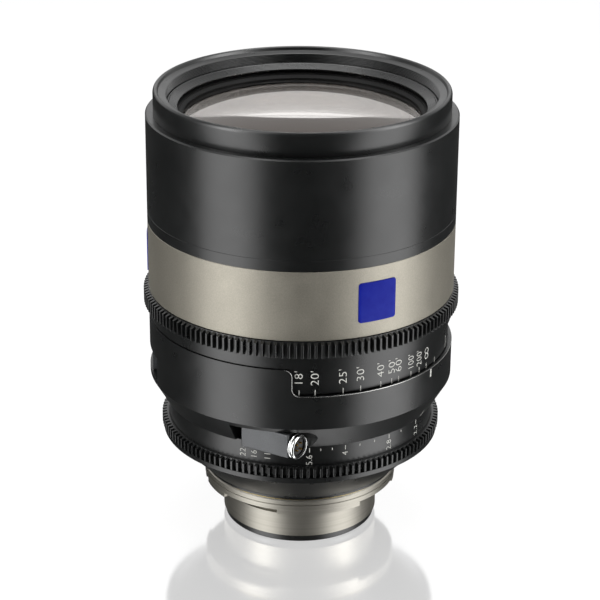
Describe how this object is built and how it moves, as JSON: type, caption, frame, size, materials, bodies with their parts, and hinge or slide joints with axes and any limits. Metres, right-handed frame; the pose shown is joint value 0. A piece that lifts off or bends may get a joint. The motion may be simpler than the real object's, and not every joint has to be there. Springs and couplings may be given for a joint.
{
  "type": "cinema lens",
  "caption": "Large fixed-focal-length cinema lens with toothed focus and iris rings, a scale window, a lugged rear mount, working focus cam and iris blades.",
  "frame": {"origin": "centre of the rear ring's lower face, on the optical axis, where the standing lens meets the table", "axes": "+Z along the optical axis from the mount to the front glass, -Y towards the azimuth that faces the viewer in the picture, +X to the viewer's right"},
  "size_m": [0.124, 0.1246, 0.18],
  "materials": {
    "black_anodised": "satin",
    "band_finish": "satin",
    "tile_enamel": "gloss",
    "mount_plate": "satin",
    "bright_steel": "satin",
    "silvered_shell": "gloss",
    "grey_alloy": "satin",
    "bare_alloy": "matte",
    "bush_bronze": "satin",
    "roller_plastic": "matte",
    "insulator": "matte",
    "contact_gold": "gloss",
    "board_laminate": "matte",
    "blade_steel": "matte",
    "optical_glass": "gloss",
    "shim_brass": "satin"
  },
  "bodies": {
    "lens_body": {"front_ring": "black_anodised", "front_baffle": "black_anodised", "front_retainer": "black_anodised", "front_barrel": "black_anodised", "band_collar": "black_anodised", "name_band": "band_finish", "band_tiles": "tile_enamel", "barrel_screws": "bright_steel", "front_cell": "black_anodised", "front_glass": "optical_glass", "second_glass": "optical_glass", "third_glass": "optical_glass", "glass_spacers": "black_anodised", "core_tube": "black_anodised", "cam_ring": "black_anodised", "cam_bushes": "bush_bronze", "window_housing": "black_anodised", "support_pad": "grey_alloy", "pad_screws": "bright_steel", "data_block": "black_anodised", "data_cover": "black_anodised", "data_board": "board_laminate", "socket_shell": "silvered_shell", "socket_insert": "insulator", "socket_pins": "contact_gold", "iris_plate": "black_anodised", "iris_cover": "black_anodised", "rear_cone": "black_anodised", "rear_cell": "black_anodised", "rear_glass": "optical_glass", "last_glass": "optical_glass", "rear_retainers": "black_anodised", "mount_shim": "shim_brass", "lens_mount": "mount_plate", "mount_screws": "bright_steel", "rear_guard": "black_anodised"},
    "focus_ring_body": {"focus_gear": "black_anodised", "focus_drum": "black_anodised", "focus_ring_screws": "bright_steel", "cam_tube": "bare_alloy"},
    "focus_carriage_body": {"focus_carrier": "bare_alloy", "carrier_retainer": "black_anodised", "follower_pins": "bright_steel", "follower_rollers": "roller_plastic", "focus_glass_front": "optical_glass", "focus_glass_rear": "optical_glass"},
    "iris_ring_body": {"iris_ring": "black_anodised", "iris_gear": "black_anodised", "iris_drive_pins": "bright_steel", "iris_rotor": "bare_alloy"},
    "iris_blade_body_01": {"iris_blade_01": "blade_steel"},
    "iris_blade_body_02": {"iris_blade_02": "blade_steel"},
    "iris_blade_body_03": {"iris_blade_03": "blade_steel"},
    "iris_blade_body_04": {"iris_blade_04": "blade_steel"},
    "iris_blade_body_05": {"iris_blade_05": "blade_steel"},
    "iris_blade_body_06": {"iris_blade_06": "blade_steel"},
    "iris_blade_body_07": {"iris_blade_07": "blade_steel"},
    "iris_blade_body_08": {"iris_blade_08": "blade_steel"},
    "iris_blade_body_09": {"iris_blade_09": "blade_steel"},
    "iris_blade_body_10": {"iris_blade_10": "blade_steel"}
  },
  "joints": [
    {"name": "focus_ring_turn", "type": "hinge", "parent": "lens_body", "child": "focus_ring_body", "pos_m": [0, 0, 0.0967], "axis": [0, 0, 1], "range_deg": [-5, 275]},
    {"name": "focus_carriage_slide", "type": "slide", "parent": "lens_body", "child": "focus_carriage_body", "axis": [0, 0, 1], "range_m": [-0.00026, 0.01376]},
    {"name": "iris_ring_turn", "type": "hinge", "parent": "lens_body", "child": "iris_ring_body", "pos_m": [0, 0, 0.0466], "axis": [0, 0, 1], "range_deg": [0, 84]},
    {"name": "iris_blade_swing_01", "type": "hinge", "parent": "lens_body", "child": "iris_blade_body_01", "pos_m": [0.036, 0, 0.044], "axis": [0, 0, 1], "range_deg": [-0.01, 35.6]},
    {"name": "iris_blade_swing_02", "type": "hinge", "parent": "lens_body", "child": "iris_blade_body_02", "pos_m": [0.02913, 0.02116, 0.044], "axis": [0, 0, 1], "range_deg": [-0.01, 35.6]},
    {"name": "iris_blade_swing_03", "type": "hinge", "parent": "lens_body", "child": "iris_blade_body_03", "pos_m": [0.01112, 0.03424, 0.044], "axis": [0, 0, 1], "range_deg": [-0.01, 35.6]},
    {"name": "iris_blade_swing_04", "type": "hinge", "parent": "lens_body", "child": "iris_blade_body_04", "pos_m": [-0.01112, 0.03424, 0.044], "axis": [0, 0, 1], "range_deg": [-0.01, 35.6]},
    {"name": "iris_blade_swing_05", "type": "hinge", "parent": "lens_body", "child": "iris_blade_body_05", "pos_m": [-0.02913, 0.02116, 0.044], "axis": [0, 0, 1], "range_deg": [-0.01, 35.6]},
    {"name": "iris_blade_swing_06", "type": "hinge", "parent": "lens_body", "child": "iris_blade_body_06", "pos_m": [-0.036, 0, 0.044], "axis": [0, 0, 1], "range_deg": [-0.01, 35.6]},
    {"name": "iris_blade_swing_07", "type": "hinge", "parent": "lens_body", "child": "iris_blade_body_07", "pos_m": [-0.02913, -0.02116, 0.044], "axis": [0, 0, 1], "range_deg": [-0.01, 35.6]},
    {"name": "iris_blade_swing_08", "type": "hinge", "parent": "lens_body", "child": "iris_blade_body_08", "pos_m": [-0.01112, -0.03424, 0.044], "axis": [0, 0, 1], "range_deg": [-0.01, 35.6]},
    {"name": "iris_blade_swing_09", "type": "hinge", "parent": "lens_body", "child": "iris_blade_body_09", "pos_m": [0.01112, -0.03424, 0.044], "axis": [0, 0, 1], "range_deg": [-0.01, 35.6]},
    {"name": "iris_blade_swing_10", "type": "hinge", "parent": "lens_body", "child": "iris_blade_body_10", "pos_m": [0.02913, -0.02116, 0.044], "axis": [0, 0, 1], "range_deg": [-0.01, 35.6]}
  ],
  "couplings": [
    {"joint": "focus_carriage_slide", "follows": "focus_ring_turn", "m_per_rad": 0.0028648},
    {"joint": "iris_blade_swing_01", "follows": "iris_ring_turn", "ratio": 0.42361},
    {"joint": "iris_blade_swing_02", "follows": "iris_ring_turn", "ratio": 0.42361},
    {"joint": "iris_blade_swing_03", "follows": "iris_ring_turn", "ratio": 0.42361},
    {"joint": "iris_blade_swing_04", "follows": "iris_ring_turn", "ratio": 0.42361},
    {"joint": "iris_blade_swing_05", "follows": "iris_ring_turn", "ratio": 0.42361},
    {"joint": "iris_blade_swing_06", "follows": "iris_ring_turn", "ratio": 0.42361},
    {"joint": "iris_blade_swing_07", "follows": "iris_ring_turn", "ratio": 0.42361},
    {"joint": "iris_blade_swing_08", "follows": "iris_ring_turn", "ratio": 0.42361},
    {"joint": "iris_blade_swing_09", "follows": "iris_ring_turn", "ratio": 0.42361},
    {"joint": "iris_blade_swing_10", "follows": "iris_ring_turn", "ratio": 0.42361}
  ]
}
